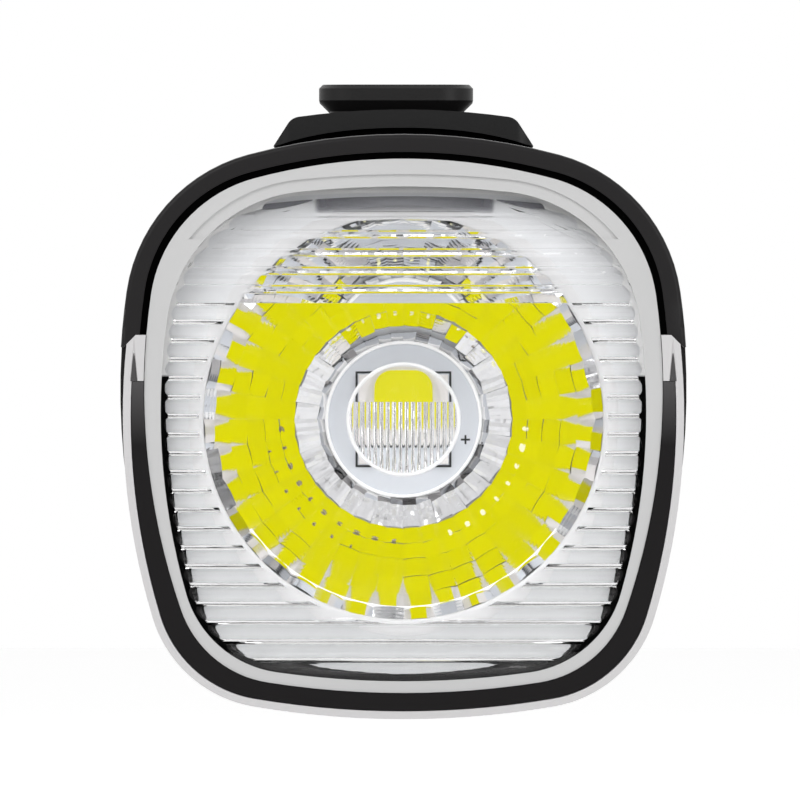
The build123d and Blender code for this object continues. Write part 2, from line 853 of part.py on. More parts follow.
def cover_pin():
    return across(pin_radius, cover_width + 2 * (cover_gap + pin_reach - fit_gap))


def mount_base():
    """Arched base of the mount, hollowed underneath to the curve of the shell."""
    shoulder = (base_shoulder_half_width, base_shoulder_height)
    mirrored = (-base_shoulder_half_width, base_shoulder_height)
    floor = base_edge_height - foot_seat_depth
    face = make_face([
        Polyline(
            mirrored, (-base_half_width, base_edge_height), (-base_half_width, floor),
            (base_half_width, floor), (base_half_width, base_edge_height), shoulder,
        ),
        ThreePointArc(shoulder, (0, base_crown_height), mirrored),
    ])
    face = fillet(face.vertices().group_by(Axis.Y)[-1], base_shoulder_radius)
    base = slab(face, mount_front, mount_front + base_length)
    plan = Pos(0, mount_middle, floor - overrun) * extrude(
        RectangleRounded(2 * base_half_width, base_length, base_end_radius), amount=base_crown_height
    )
    base = base & plan
    base -= slab(outline(head, -mount_pad_gap), mount_front - overrun, mount_front + base_length + overrun)
    base -= foot_neck(fit_gap)
    seat = Pos(foot_offset, mount_middle, foot_top - foot_side_height - foot_undercut)
    base -= seat * extrude(
        RectangleRounded(foot_width + hole_gap, foot_length + hole_gap, foot_corner), amount=foot_top
    )
    for depth in mount_screw_depths():
        place = Pos(foot_offset, depth, 0)
        base -= place * extrude(Circle(mount_screw_radius + hole_gap), amount=foot_top)
    return base


def mount_pad():
    """Thin rubber pad between the shell and the mount."""
    pad = outline(head, -mount_pad_gap) - outline(head)
    strip = Rectangle(2 * (base_half_width - mount_pad_inset), 2 * foot_top) - below(0)
    front = mount_front + mount_pad_inset
    pad = slab(pad & strip, front, mount_front + base_length - mount_pad_inset)
    for depth in mount_screw_depths():
        place = Pos(foot_offset, depth, 0)
        pad -= place * extrude(Circle(mount_screw_radius + hole_gap), amount=foot_top)
    return pad


def foot_neck(gap=0):
    """The part of the foot that goes down into the base."""
    neck_plan = RectangleRounded(
        foot_width - 2 * foot_undercut + 2 * gap,
        foot_length - 2 * foot_undercut + 2 * gap,
        foot_corner - foot_undercut + gap,
    )
    height = foot_top - foot_side_height - foot_undercut - foot_floor
    return Pos(foot_offset, mount_middle, foot_floor) * extrude(neck_plan, amount=height)


def mount_foot():
    """Dovetail foot that slides into the bracket, with its latch slot and screw seats."""
    plan = RectangleRounded(foot_width, foot_length, foot_corner)
    lower = RectangleRounded(
        foot_width - 2 * foot_undercut, foot_length - 2 * foot_undercut, foot_corner - foot_undercut
    )
    plate = extrude(plan, amount=foot_side_height)
    plate = chamfer(plate.edges().group_by(Axis.Z)[-1], foot_edge_bevel)
    flare = loft([Pos(0, 0, -foot_undercut) * lower, plan])
    foot = Pos(foot_offset, mount_middle, foot_top - foot_side_height) * (plate + flare)
    foot += foot_neck()
    latch_depth = mount_middle + foot_length / 2 - latch_slot_back
    foot -= Pos(foot_offset, latch_depth, foot_top) * Box(
        foot_width + overrun, latch_slot_length, 2 * latch_slot_depth
    )
    seat = foot_top - mount_screw_sink
    for depth in mount_screw_depths():
        place = Pos(foot_offset, depth, 0)
        foot -= place * extrude(Circle(mount_screw_radius + hole_gap), amount=foot_top)
        cone = Cone(
            mount_screw_radius + hole_gap, mount_screw_head_radius + hole_gap, mount_screw_head_height,
            align=(Align.CENTER, Align.CENTER, Align.MAX),
        )
        foot -= Pos(foot_offset, depth, seat) * cone
        foot -= Pos(foot_offset, depth, seat) * extrude(
            Circle(mount_screw_head_radius + hole_gap), amount=overrun
        )
    return foot


def mount_screws():
    screw = countersunk_screw(
        mount_screw_head_radius, mount_screw_head_height, mount_screw_radius,
        mount_screw_length - hole_gap,
    )
    seat = foot_top - mount_screw_sink
    return Compound([Pos(foot_offset, depth, seat) * screw.solid() for depth in mount_screw_depths()])


def wires():
    """Two wires from the control board, under the cells, to the back of the light board."""
    channel = lead_channel_width / 2 - lead_radius
    route_shares = [
        (0, 0, 0), (0.16, 0, 0), (0.38, 0.25, 0.2), (0.62, -0.2, -0.2), (0.84, 0, 0), (1, 0, 0),
    ]
    leads = []
    for side in (-1, 1):
        points = []
        for along_share, across_share, rise_share in route_shares:
            depth = control_front + (board_rear - control_front) * along_share
            x = side * lead_spacing / 2 + across_share * (channel - lead_spacing / 2)
            points.append(Vector(x, depth, lead_height + rise_share * lead_radius))
        leads.append(wire_tube(points).solid())
    return Compound(leads)


def wire_tube(points):
    """A round wire along straight runs joined by arcs as large as the runs allow."""
    radii = []
    for before, corner, after in zip(points, points[1:], points[2:]):
        run, following = corner - before, after - corner
        half_turn = math.radians(run.get_angle(following)) / 2
        radii.append(0.45 * min(run.length, following.length) / math.tan(half_turn))
    path = FilletPolyline(*points, radius=radii)
    section = Plane(origin=path @ 0, z_dir=path % 0) * Circle(lead_radius)
    return sweep(section, path=path)


def seat_on_foot(shape):
    """Moves a piece so that the centre of the foot's top face is the origin."""
    return Pos(0, -mount_middle, -foot_top) * shape


makers = [
    body_shell, lens_frame, front_lens, lens_seal, side_light_guide, guide_strip, reflector,
    led_board, led_package, led_phosphor, led_dome, led_board_screws, thermal_pad, heatsink,
    battery_cells, cell_tabs, battery_cradle, control_board, tact_switch, charging_socket,
    signal_lights, signal_window, wires, cap_gasket, rear_cap, cap_screws, button_ring,
    power_button, port_cover, cover_pin, mount_base, mount_pad, mount_foot, mount_screws,
]

os.makedirs("parts", exist_ok=True)
for maker in makers:
    export_step(seat_on_foot(maker()), f"parts/{maker.__name__}.step")
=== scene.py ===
import json
import math
import random

import bmesh
import bpy
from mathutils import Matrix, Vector

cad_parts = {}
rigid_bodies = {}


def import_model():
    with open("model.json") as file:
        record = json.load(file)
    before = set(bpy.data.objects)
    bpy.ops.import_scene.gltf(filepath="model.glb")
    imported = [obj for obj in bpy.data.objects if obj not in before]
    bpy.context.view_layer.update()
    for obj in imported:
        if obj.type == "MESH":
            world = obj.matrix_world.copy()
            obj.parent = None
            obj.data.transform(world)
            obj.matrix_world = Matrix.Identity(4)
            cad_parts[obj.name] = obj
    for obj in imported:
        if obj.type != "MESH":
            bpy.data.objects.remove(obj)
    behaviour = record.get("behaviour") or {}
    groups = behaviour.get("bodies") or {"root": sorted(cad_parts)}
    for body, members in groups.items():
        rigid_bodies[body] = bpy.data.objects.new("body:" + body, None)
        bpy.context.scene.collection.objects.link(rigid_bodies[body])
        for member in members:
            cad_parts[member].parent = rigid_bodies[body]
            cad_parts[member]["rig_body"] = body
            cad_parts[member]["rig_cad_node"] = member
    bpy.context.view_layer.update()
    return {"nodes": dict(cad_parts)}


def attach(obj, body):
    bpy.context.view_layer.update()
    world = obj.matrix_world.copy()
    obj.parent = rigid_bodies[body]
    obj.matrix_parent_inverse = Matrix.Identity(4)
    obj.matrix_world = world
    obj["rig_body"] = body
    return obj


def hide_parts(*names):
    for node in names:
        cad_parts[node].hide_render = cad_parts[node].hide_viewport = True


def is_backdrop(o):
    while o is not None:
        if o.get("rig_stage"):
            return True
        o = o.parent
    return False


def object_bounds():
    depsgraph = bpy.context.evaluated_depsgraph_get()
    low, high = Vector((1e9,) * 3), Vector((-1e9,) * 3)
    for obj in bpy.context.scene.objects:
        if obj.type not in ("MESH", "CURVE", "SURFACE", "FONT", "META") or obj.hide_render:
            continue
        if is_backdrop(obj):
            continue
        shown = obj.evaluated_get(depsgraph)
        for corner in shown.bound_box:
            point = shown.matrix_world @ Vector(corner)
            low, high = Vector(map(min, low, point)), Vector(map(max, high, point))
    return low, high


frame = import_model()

nodes = frame["nodes"]
scene = bpy.context.scene
mm = 0.001

# Sizes in millimetres on the lamp's own axis: x right, depth to the rear, z up
axis_drop = 26.27
face_depth = 39.0
lens_rear = 2.3
dish_front = 3.3
rim_radius = 15.9
base_radius = 6.2
focal_length = 3.554
board_front = 18.38
# How far a point lies off a face before it counts as off it
off_face = 0.02
smooth_angle = math.radians(28)
round_angle = math.radians(40)

# Camera and its picture
camera_distance = 2240.0
picture_width = 62.08
picture_middle = (-0.27, 1.51)
sensor_width = 36.0
camera_reach = (0.1, 12.0)

# Mirror facets, in rings counted from the rim
facet_sectors = 40
facet_cuts = 4
ring_radii = (15.86, 15.0, 13.7, 12.4, 11.0, 9.8, 8.6, 7.4, base_radius)
facet_curve = 7.0
curve_spread = (0.85, 1.2)
facet_lift = 0.06
# The two rings at the base tip the other way from each other; the outer one less towards the top
fading_ring, last_ring = 6, 7
ring_tips = {fading_ring: -0.26, last_ring: 0.2}
tip_fade_start, tip_fade_length = 0.95, 0.45
rim_unevenness, tipped_unevenness, plain_unevenness = 0.13, 0.09, 0.02
# Mirror colour that facets draw from, which paints darker reflections on some facets of the outer ring and of
# the last ring, darkest on the low facets of the last ring, and how low the facets of the last ring have to
# be for the dark ones
rim_tones = [0.97] * 6 + [0.75, 0.6, 0.45]
low_tones = [0.2, 0.35, 0.6, 0.8]
base_tones = [0.6, 0.75, 0.9]
plain_tones = [0.97, 1.0]
low_side = -0.3

# Dots at the facets' corners that paint glints and brownish reflections in the mirror: radius, first angle
# from the top, how many, half width, half height
corner_step = 360 / facet_sectors
glint_rows = ((8.42, -40.5, 12, 0.2, 0.12), (9.7, 94.5, 8, 0.3, 0.19))
dark_reflection_rows = ((9.67, 184.5, 10, 0.26, 0.14), (10.85, 202.5, 7, 0.14, 0.12))
dot_inset = 0.2
dot_rise = 0.1
dot_half_depth = 0.1
dot_wide_spread = (0.5, 1.35)
dot_high_spread = (0.55, 1.3)
dot_lean = 0.5

# Lens: ribs as the CAD has them, and the prism rows that those above the cutoff become
rib_pitch = 1.46
cutoff_height = 9.04
crystal_height = 1.4
upper_rib_pitch = 1.75
prism_pitch = 1.42
prism_rows = 5
rib_cuts = 3
rib_base = 0.03
# Share of the old pitch, share of the new one, and height there
rib_profile = (
    (0, 0, 0), (0.02, 0.004, 0.5), (0.4, 0.53, 0.08), (0.5, 0.63, 0.08),
    (0.62, 0.76, 0.18), (0.75, 0.9, 0.08), (0.98, 0.99, 0.08), (1, 1, 0),
)
boss_reach = 4.5
boss_face = 3.1
boss_wedge = 0.21

# Seal: its inner edge grows inward, and scallops are cut from it
seal_growth = 0.6
seal_least_width = 0.5
seal_turn = 0.06
seal_back = 0.06
seal_front_reach = 0.1
scallop_depth = 0.24
scallop_limit, scallop_low_limit = 0.76, 0.70
seal_bottom, seal_bottom_end = -19.6, -18.6

# Mount: the arc of the joint between its base and its pad
joint_arc_middle = 22.16 - 46.5
joint_radius = 46.85
joint_reach = 0.04
joint_rise = 0.32
joint_half_width = 9.6

# Side light guide: the dark tips in its blocks
tip_x = 20.92
tip_height = 4.62
tip_length = 3.3
tip_end_radius = 0.015

# Light source
dome_foot = 0.72
dome_lift = 0.02
glow_width = 4.38
glow_corner = 1.25
glow_foot = 0.7
glow_thickness = 0.2

# Marks: the sign on the button, and the square and cross on the light board
sign_depth, sign_height = 102.8, 13.61
sign_radius = 1.5
sign_line = 0.17
sign_gap = 0.7
sign_bar_length = 1.5
sign_bar_rise = 1.15
square_width = 7.5
square_line = 0.17
cross_x, cross_z = 4.85, -1.59
cross_length, cross_line = 0.72, 0.15
mark_lift = 0.02

# Grey see-through film that darkens the top of the lens: a block in the middle and an arc of painted shade
# that tapers away on each side
film_width, film_depth, film_thickness = 26.8, 3.12, 0.06
film_x = 0.1
film_top, film_low = 17.35, 15.9
film_sag = 0.0052
block_half_width, block_soft_side = 7.0, 0.35
block_low, block_soft_low, block_least = 15.95, 0.55, 0.15
block_darkness, block_darkness_rise = 0.32, 0.006
arc_length, arc_width, arc_soft, arc_least = 6.2, 0.45, 0.1, 0.03
arc_darkness = 0.85

# Stage, in metres
floor_size = 4.0
floor_drop = 0.012
card_size = 0.3
card_place = (0, -2.9, -0.025)
lamp_aim = (0, 0, -0.026)


def spot(x, depth, z):
    """A point on the lamp's own axis as a point of the frame, in metres."""
    return Vector((x * mm, (depth - face_depth) * mm, (z - axis_drop) * mm))


# Camera

def camera():
    """A long lens straight in front, its picture 62.1 mm wide at the lamp's face."""
    data = bpy.data.cameras.new("camera")
    eye = bpy.data.objects.new("camera", data)
    scene.collection.objects.link(eye)
    eye.location = spot(picture_middle[0], -camera_distance, picture_middle[1])
    eye.rotation_euler = (math.pi / 2, 0, 0)
    data.sensor_width = sensor_width
    data.lens = sensor_width * camera_distance / picture_width
    data.clip_start, data.clip_end = camera_reach
    scene.camera = eye


# Finishes

def new_material(name):
    """A new material with its node tree and surface node."""
    material = bpy.data.materials.new(name)
    material.use_nodes = True
    tree = material.node_tree
    return material, tree, tree.nodes["Principled BSDF"]


def add_node(tree, kind, inputs=(), **settings):
    """Adds a node, with settings, and with values or links for its inputs."""
    node = tree.nodes.new(kind)
    for key, value in settings.items():
        setattr(node, key, value)
    for key, value in dict(inputs).items():
        if hasattr(value, "node"):
            tree.links.new(value, node.inputs[key])
        else:
            node.inputs[key].default_value = value
    return node


def new_group(name, inputs, outputs):
    """An empty node group with its sockets, and what leads into and out of it."""
    group = bpy.data.node_groups.new(name, "ShaderNodeTree")
    for label, kind, value in inputs:
        group.interface.new_socket(label, in_out="INPUT", socket_type=kind).default_value = value
    for label, kind in outputs:
        group.interface.new_socket(label, in_out="OUTPUT", socket_type=kind)
    return group, group.nodes.new("NodeGroupInput").outputs, group.nodes.new("NodeGroupOutput").inputs


def moulded_grain():
    """Colour and roughness that drift over a moulded face, with a fine bump."""
    group, start, end = new_group("moulded_grain", (
        ("Colour", "NodeSocketColor", (0.5, 0.5, 0.5, 1)), ("Drift", "NodeSocketFloat", 0.08),
        ("Roughness", "NodeSocketFloat", 0.4), ("Grain size", "NodeSocketFloat", 4000.0),
        ("Grain depth", "NodeSocketFloat", 0.2),
    ), (
        ("Colour", "NodeSocketColor"), ("Roughness", "NodeSocketFloat"), ("Normal", "NodeSocketVector"),
    ))
    place = add_node(group, "ShaderNodeTexCoord").outputs["Object"]
    broad = add_node(group, "ShaderNodeTexNoise", {"Vector": place, "Scale": 90.0, "Detail": 3.0})
    fine = add_node(group, "ShaderNodeTexNoise", {
        "Vector": place, "Scale": start["Grain size"], "Detail": 2.0, "Roughness": 0.6,
    })
    middle = add_node(group, "ShaderNodeMath", {0: broad.outputs["Fac"], 1: 0.5}, operation="SUBTRACT")
    swing = add_node(group, "ShaderNodeMath", {
        0: middle.outputs[0], 1: start["Drift"],
    }, operation="MULTIPLY")
    value = add_node(group, "ShaderNodeMath", {0: swing.outputs[0], 1: 1.0}, operation="ADD")
    tint = add_node(group, "ShaderNodeHueSaturation", {"Value": value.outputs[0], "Color": start["Colour"]})
    rough = add_node(group, "ShaderNodeMath", {0: swing.outputs[0], 1: start["Roughness"]}, operation="ADD")
    bump = add_node(group, "ShaderNodeBump", {
        "Height": fine.outputs["Fac"], "Strength": start["Grain depth"], "Distance": 0.00002,
    })
    group.links.new(tint.outputs["Color"], end["Colour"])
    group.links.new(rough.outputs[0], end["Roughness"])
    group.links.new(bump.outputs["Normal"], end["Normal"])
    return group


def height_fade():
    """A colour that changes from one height of the frame to another, in metres."""
    group, start, end = new_group("height_fade", (
        ("High colour", "NodeSocketColor", (1, 1, 1, 1)), ("Low colour", "NodeSocketColor", (0, 0, 0, 1)),
        ("High", "NodeSocketFloat", 0.0), ("Low", "NodeSocketFloat", -0.01),
    ), (("Colour", "NodeSocketColor"),))
    place = add_node(group, "ShaderNodeTexCoord").outputs["Object"]
    height = add_node(group, "ShaderNodeSeparateXYZ", {"Vector": place}).outputs["Z"]
    share = add_node(group, "ShaderNodeMapRange", {
        "Value": height, "From Min": start["Low"], "From Max": start["High"],
    })
    tone = add_node(group, "ShaderNodeMix", {
        0: share.outputs["Result"], 6: start["Low colour"], 7: start["High colour"],
    }, data_type="RGBA")
    group.links.new(tone.outputs[2], end["Colour"])
    return group


def moulded(name, colour, roughness, drift=0.08, grain=4000.0, depth=0.2, **sockets):
    """A moulded or metal finish that uses the shared grain."""
    material, tree, surface = new_material(name)
    group = add_node(tree, "ShaderNodeGroup", {
        "Colour": (*colour, 1), "Drift": drift, "Roughness": roughness,
        "Grain size": grain, "Grain depth": depth,
    }, node_tree=grain_group, name="grain")
    for socket, target in (("Colour", "Base Color"), ("Roughness", "Roughness"), ("Normal", "Normal")):
        tree.links.new(group.outputs[socket], surface.inputs[target])
    for key, value in sockets.items():
        surface.inputs[key.replace("_", " ")].default_value = value
    return material


def clear(name, ior):
    """Clear plastic or glass that lets lamp light pass straight through."""
    material, tree, surface = new_material(name)
    surface.inputs["Base Color"].default_value = (1, 1, 1, 1)
    surface.inputs["Transmission Weight"].default_value = 1.0
    surface.inputs["Roughness"].default_value = 0.0
    surface.inputs["IOR"].default_value = ior
    path = add_node(tree, "ShaderNodeLightPath")
    bare = add_node(tree, "ShaderNodeBsdfTransparent")
    mix = add_node(tree, "ShaderNodeMixShader", {
        0: path.outputs["Is Shadow Ray"], 1: surface.outputs[0], 2: bare.outputs[0],
    })
    tree.links.new(mix.outputs[0], tree.nodes["Material Output"].inputs["Surface"])
    return material


def fade(material, high, high_colour, low, low_colour):
    """Lets a moulded finish change its colour from one height above the lamp's axis to another."""
    tree = material.node_tree
    group = add_node(tree, "ShaderNodeGroup", {
        "High colour": (*high_colour, 1), "Low colour": (*low_colour, 1),
        "High": (high - axis_drop) * mm, "Low": (low - axis_drop) * mm,
    }, node_tree=fade_group)
    tree.links.new(group.outputs["Colour"], tree.nodes["grain"].inputs["Colour"])
    return material


def see_through(material, share):
    """Lets part of a finish be see-through, all of it where the share is one."""
    tree = material.node_tree
    bare = add_node(tree, "ShaderNodeBsdfTransparent")
    mix = add_node(tree, "ShaderNodeMixShader", {
        0: share, 1: tree.nodes["Principled BSDF"].outputs[0], 2: bare.outputs[0],
    })
    tree.links.new(mix.outputs[0], tree.nodes["Material Output"].inputs["Surface"])
    return material


def scallop(material):
    """Cuts the seal's inner edge into scallops that follow the ribs of the lens."""
    tree = material.node_tree
    place = add_node(tree, "ShaderNodeTexCoord").outputs["Object"]
    height = add_node(tree, "ShaderNodeSeparateXYZ", {"Vector": place}).outputs["Z"]
    pitch = rib_pitch * mm
    turn = add_node(tree, "ShaderNodeMath", {
        0: height, 1: math.pi / pitch, 2: (axis_drop - cutoff_height) * mm * math.pi / pitch,
    }, operation="MULTIPLY_ADD")
    wave = add_node(tree, "ShaderNodeMath", {0: turn.outputs[0]}, operation="SINE")
    bulge = add_node(tree, "ShaderNodeMath", {0: wave.outputs[0]}, operation="ABSOLUTE")
    low = add_node(tree, "ShaderNodeMapRange", {
        "Value": height, "From Min": (seal_bottom - axis_drop) * mm,
        "From Max": (seal_bottom_end - axis_drop) * mm,
        "To Min": scallop_low_limit, "To Max": scallop_limit,
    })
    limit = add_node(tree, "ShaderNodeMath", {
        0: bulge.outputs[0], 1: -scallop_depth, 2: low.outputs["Result"],
    }, operation="MULTIPLY_ADD")
    inward = add_node(tree, "ShaderNodeAttribute", attribute_name="inward").outputs["Fac"]
    bare = add_node(tree, "ShaderNodeMath", {0: inward, 1: limit.outputs[0]}, operation="GREATER_THAN")
    return see_through(material, bare.outputs[0])


def toned(material):
    """Gives each mirror facet its own brightness, which paints darker reflections on some of them."""
    tree = material.node_tree
    share = add_node(tree, "ShaderNodeAttribute", attribute_name="tone").outputs["Fac"]
    tone = add_node(tree, "ShaderNodeMix", {
        0: share, 6: (0.02, 0.018, 0.018, 1), 7: (0.97, 0.97, 0.98, 1),
    }, data_type="RGBA")
    tree.links.new(tone.outputs[2], tree.nodes["grain"].inputs["Colour"])
    return material


def darkened(material):
    """See-through grey darkening whose strength the piece carries."""
    tree = material.node_tree
    strength = add_node(tree, "ShaderNodeAttribute", attribute_name="darkness").outputs["Fac"]
    rest = add_node(tree, "ShaderNodeMath", {0: 1.0, 1: strength}, operation="SUBTRACT")
    return see_through(material, rest.outputs[0])


grain_group = moulded_grain()
fade_group = height_fade()

# Front
shell_black = moulded("shell_black", (0.010, 0.009, 0.0095), 0.4, Specular_IOR_Level=0.2)
frame_pale = moulded("frame_pale", (0.62, 0.62, 0.62), 0.32)
# Painted shade and light: the seal is near black below about 3.3 mm over the axis, painting the shadow of the
# gap round the lens, and its inner edge is cut into scallops. Above 3.5 mm it is pale, brighter than the seal
# itself to make up for the shade under the pale ring's lip.
seal_black = moulded("seal_black", (0, 0, 0), 0.6, Specular_IOR_Level=0.0)
scallop(fade(seal_black, 3.5, (0.94, 0.94, 0.94), 3.3, (0.001, 0.001, 0.001)))
# Painted shade: a near black that stands for shadow, on a sheet in the groove by the pale ring and on the
# mount's pad in the dark line under the base
gap_shade_black = moulded("gap_shade_black", (0.002, 0.002, 0.002), 0.8, Specular_IOR_Level=0.0)
guide_pale = moulded("guide_pale", (0.67, 0.66, 0.665), 0.35)
inlay_black = moulded("inlay_black", (0.012, 0.010, 0.011), 0.3, Specular_IOR_Level=0.15)
# Painted light: the inlay fades from dark grey at its upper ends to near black lower down, where less light
# falls
fade(inlay_black, 2.99, (0.085, 0.082, 0.084), -2.0, (0.008, 0.007, 0.0075))
lens_clear = clear("lens_clear", 1.49)
# A grey see-through film that darkens the top of the lens, its side arcs painted shade
darkening_grey = darkened(moulded("darkening_grey", (0.24, 0.24, 0.27), 0.3))
# Painted highlight: a glowing, partly see-through white for the boss's rim
rim_glint = see_through(moulded(
    "rim_glint", (0.92, 0.92, 0.93), 0.3, Emission_Color=(1, 1, 1, 1), Emission_Strength=0.2,
), 0.25)

# Dish and light source
dish_mirror = toned(moulded("dish_mirror", (0, 0, 0), 0.04, drift=0.0, depth=0.0, Metallic=1.0))
dish_plate = moulded("dish_plate", (0, 0, 0), 0.35)
# Painted light: the plate is paler towards the top, where more light falls, and greyer towards the bottom
fade(dish_plate, 16.0, (0.86, 0.87, 0.89), -20.0, (0.62, 0.63, 0.64))
# Painted highlights and reflections: pale glowing glints at the facets' corners, and brown dots that paint
# reflections there
glint_pale = see_through(moulded(
    "glint_pale", (0.9, 0.88, 0.6), 0.3, Emission_Color=(1, 0.98, 0.62, 1), Emission_Strength=0.25,
), 0.25)
reflection_brown = see_through(moulded("reflection_brown", (0.36, 0.31, 0.25), 0.4), 0.3)
# Painted highlight: glowing white for a bright arc of reflection on the dish and for its inner edge
glint_white = moulded(
    "glint_white", (0.95, 0.95, 0.95), 0.3, Emission_Color=(1, 1, 1, 1), Emission_Strength=0.25,
)
lip_white = moulded("lip_white", (0.78, 0.78, 0.79), 0.3)
board_white = moulded("board_white", (0.76, 0.79, 0.84), 0.45)
print_dark = moulded("print_dark", (0.035, 0.038, 0.042), 0.5)
package_white = moulded("package_white", (0.86, 0.83, 0.82), 0.5)
# Painted light: the unlit phosphor is a dim yellow lit mostly by emission, which stands in for daylight
# reaching it through the lens and off the dish
phosphor_yellow = moulded(
    "phosphor_yellow", (0.22, 0.20, 0.0), 0.6, Specular_IOR_Level=0.0,
    Emission_Color=(0.73, 0.70, 0.0, 1), Emission_Strength=0.85,
)
dome_clear = clear("dome_clear", 1.18)

# Inside, rear and mount
screw_steel = moulded("screw_steel", (0.16, 0.16, 0.165), 0.35, Metallic=1.0)
pad_grey = moulded("pad_grey", (0.12, 0.13, 0.15), 0.7)
sink_bare = moulded("sink_bare", (0.6, 0.61, 0.62), 0.4, Metallic=1.0)
cell_wrap = moulded("cell_wrap", (0.03, 0.11, 0.3), 0.35)
tab_nickel = moulded("tab_nickel", (0.6, 0.58, 0.52), 0.3, Metallic=1.0)
cradle_plastic = moulded("cradle_plastic", (0.03, 0.03, 0.03), 0.5)
board_green = moulded("board_green", (0.01, 0.07, 0.03), 0.4)
switch_dark = moulded("switch_dark", (0.03, 0.03, 0.03), 0.45)
socket_metal = moulded("socket_metal", (0.6, 0.6, 0.62), 0.25, Metallic=1.0)
wire_sleeve = moulded("wire_sleeve", (0.25, 0.01, 0.01), 0.5)
gasket_black = moulded("gasket_black", (0.01, 0.01, 0.01), 0.7)
cap_black = moulded("cap_black", (0.02, 0.02, 0.021), 0.5, depth=0.5)
ring_dark = moulded("ring_dark", (0.06, 0.06, 0.062), 0.3, Metallic=1.0)
button_rubber = moulded("button_rubber", (0.035, 0.035, 0.036), 0.6, depth=0.4)
cover_rubber = moulded("cover_rubber", (0.018, 0.018, 0.019), 0.6, depth=0.4)
mount_black = moulded("mount_black", (0.010, 0.010, 0.0102), 0.38, depth=0.4, Specular_IOR_Level=0.25)
foot_black = moulded("foot_black", (0.012, 0.0115, 0.0115), 0.4, depth=0.4, Specular_IOR_Level=0.25)
signal_lens = moulded("signal_lens", (0.70, 0.73, 0.76), 0.3)
sign_grey = moulded("sign_grey", (0.42, 0.42, 0.43), 0.5)
card_black = moulded("card_black", (0.01, 0.01, 0.01), 0.9, drift=0.0, depth=0.0)

node_finish = {
    "body_shell": shell_black, "lens_frame": frame_pale, "front_lens": lens_clear,
    "lens_seal": seal_black, "side_light_guide": guide_pale, "guide_strip": inlay_black,
    "reflector": dish_plate, "led_board": board_white, "led_package": package_white,
    "led_phosphor": phosphor_yellow, "led_dome": dome_clear, "led_board_screws": screw_steel,
    "thermal_pad": pad_grey, "heatsink": sink_bare, "battery_cells": cell_wrap,
    "cell_tabs": tab_nickel, "battery_cradle": cradle_plastic, "control_board": board_green,
    "tact_switch": switch_dark, "charging_socket": socket_metal, "signal_lights": package_white,
    "signal_window": signal_lens, "wires": wire_sleeve, "cap_gasket": gasket_black,
    "rear_cap": cap_black, "cap_screws": screw_steel, "button_ring": ring_dark,
    "power_button": button_rubber, "port_cover": cover_rubber, "cover_pin": screw_steel,
    "mount_base": mount_black, "mount_pad": gasket_black, "mount_foot": foot_black,
    "mount_screws": screw_steel,
}
for name, material in node_finish.items():
    nodes[name].data.materials.clear()
    nodes[name].data.materials.append(material)


# Pieces

def deselect():
    """Back to object mode with nothing picked."""
    if bpy.context.mode != "OBJECT":
        bpy.ops.object.mode_set(mode="OBJECT")
    bpy.ops.object.select_all(action="DESELECT")


def settle(piece, name, material, replaced=(), body="housing"):
    """Names a finished piece, gives it its finish, and lets it ride."""
    deselect()
    piece.name = piece.data.name = name
    piece.data.materials.clear()
    piece.data.materials.append(material)
    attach(piece, body)
    if replaced:
        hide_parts(*replaced)
    return piece


def apply_place(piece):
    """Puts a piece's place into its mesh."""
    deselect()
    piece.select_set(True)
    bpy.context.view_layer.objects.active = piece
    bpy.ops.object.transform_apply(location=True, rotation=True, scale=True)


def grid(columns, rows):
    """A flat sheet one unit square, for bending into a curved face."""
    deselect()
    bpy.ops.mesh.primitive_grid_add(x_subdivisions=columns, y_subdivisions=rows, size=1.0)
    return bpy.context.object


def copied(node):
    """A smooth copy of a CAD node's mesh, its loose triangles joined."""
    deselect()
    piece = nodes[node].copy()
    piece.data = nodes[node].data.copy()
    piece.parent = None
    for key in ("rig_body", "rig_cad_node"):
        del piece[key]
    scene.collection.objects.link(piece)
    piece.select_set(True)
    bpy.context.view_layer.objects.active = piece
    bpy.ops.object.mode_set(mode="EDIT")
    bpy.ops.mesh.select_all(action="SELECT")
    bpy.ops.mesh.remove_doubles(threshold=0.000002)
    bpy.ops.object.mode_set(mode="OBJECT")
    bpy.ops.mesh.customdata_custom_splitnormals_clear()
    bpy.ops.object.shade_smooth_by_angle(angle=smooth_angle)
    return piece


def cut_groove(piece, cutter):
    """Cuts one piece out of another, and clears the cutter away."""
    groove = piece.modifiers.new("groove", "BOOLEAN")
    groove.operation, groove.solver, groove.object = "DIFFERENCE", "EXACT", cutter
    bpy.ops.object.modifier_apply(modifier="groove")
    bpy.data.objects.remove(cutter)


def round_edges(piece, width, segments):
    """Rounds the sharp edges of a piece."""
    edge = piece.modifiers.new("edge", "BEVEL")
    edge.width, edge.segments, edge.limit_method = width * mm, segments, "ANGLE"
    bpy.ops.object.modifier_apply(modifier="edge")
    bpy.ops.object.shade_smooth_by_angle(angle=round_angle)


def round_ring(name, material, radius, thickness, depth, steps, sides=16, flat=1.0):
    """A rounded ring that faces the front, flattened to a share of its depth."""
    deselect()
    bpy.ops.mesh.primitive_torus_add(
        major_radius=radius * mm, minor_radius=thickness * mm, major_segments=steps,
        minor_segments=sides, location=spot(0, depth, 0), rotation=(math.pi / 2, 0, 0),
    )
    ring = bpy.context.object
    ring.scale = (1, 1, flat)
    bpy.ops.object.shade_smooth()
    apply_place(ring)
    return settle(ring, name, material)


